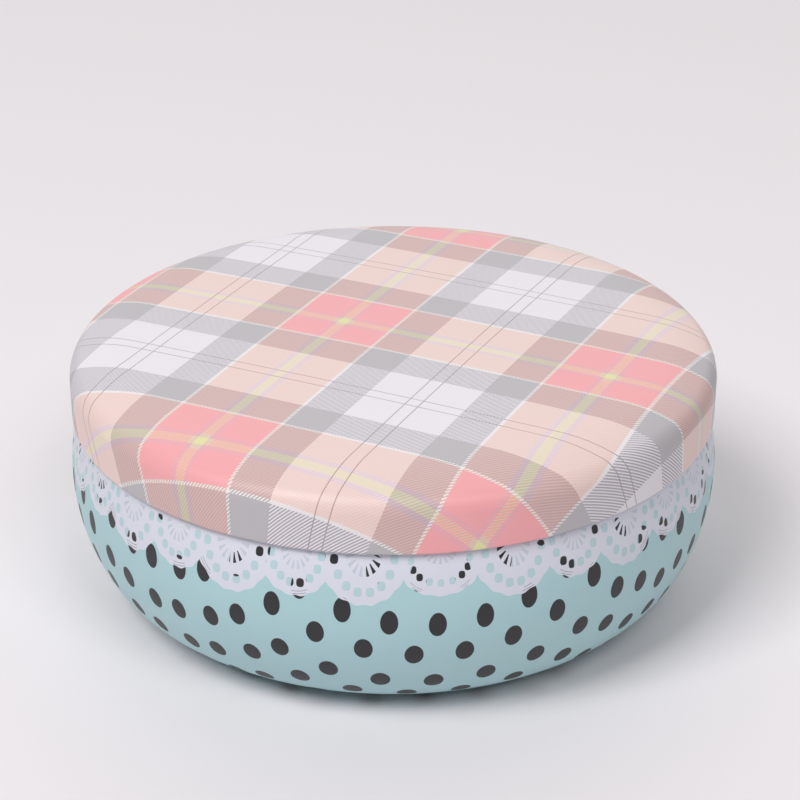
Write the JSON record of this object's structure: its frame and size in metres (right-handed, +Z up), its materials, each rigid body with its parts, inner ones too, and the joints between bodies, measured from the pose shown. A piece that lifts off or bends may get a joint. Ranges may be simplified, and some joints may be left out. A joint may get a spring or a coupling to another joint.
{
  "type": "round storage tin",
  "caption": "Low round keepsake tin with a lift-off crowned lid over a bowl-sided body, printed tartan lid and dotted body with a lace edge.",
  "frame": {"origin": "centre of the standing ring, on the tin's axis and on the surface that it stands on", "axes": "+Z up along the tin's axis to the crown of the lid; -Y towards the viewer of the picture, +X to the viewer's right"},
  "size_m": [0.1212, 0.1212, 0.049],
  "materials": {
    "lid_print": "printed and varnished tinplate, satin gloss",
    "body_print": "printed and varnished tinplate, satin gloss"
  },
  "bodies": {
    "tin": {"tin_body": "body_print"},
    "lid": {"lid": "lid_print"}
  },
  "joints": [
    {"name": "lid_lift", "type": "slide", "parent": "tin", "child": "lid", "axis": [0, 0, 1], "range_m": [0, 0.05]}
  ]
}
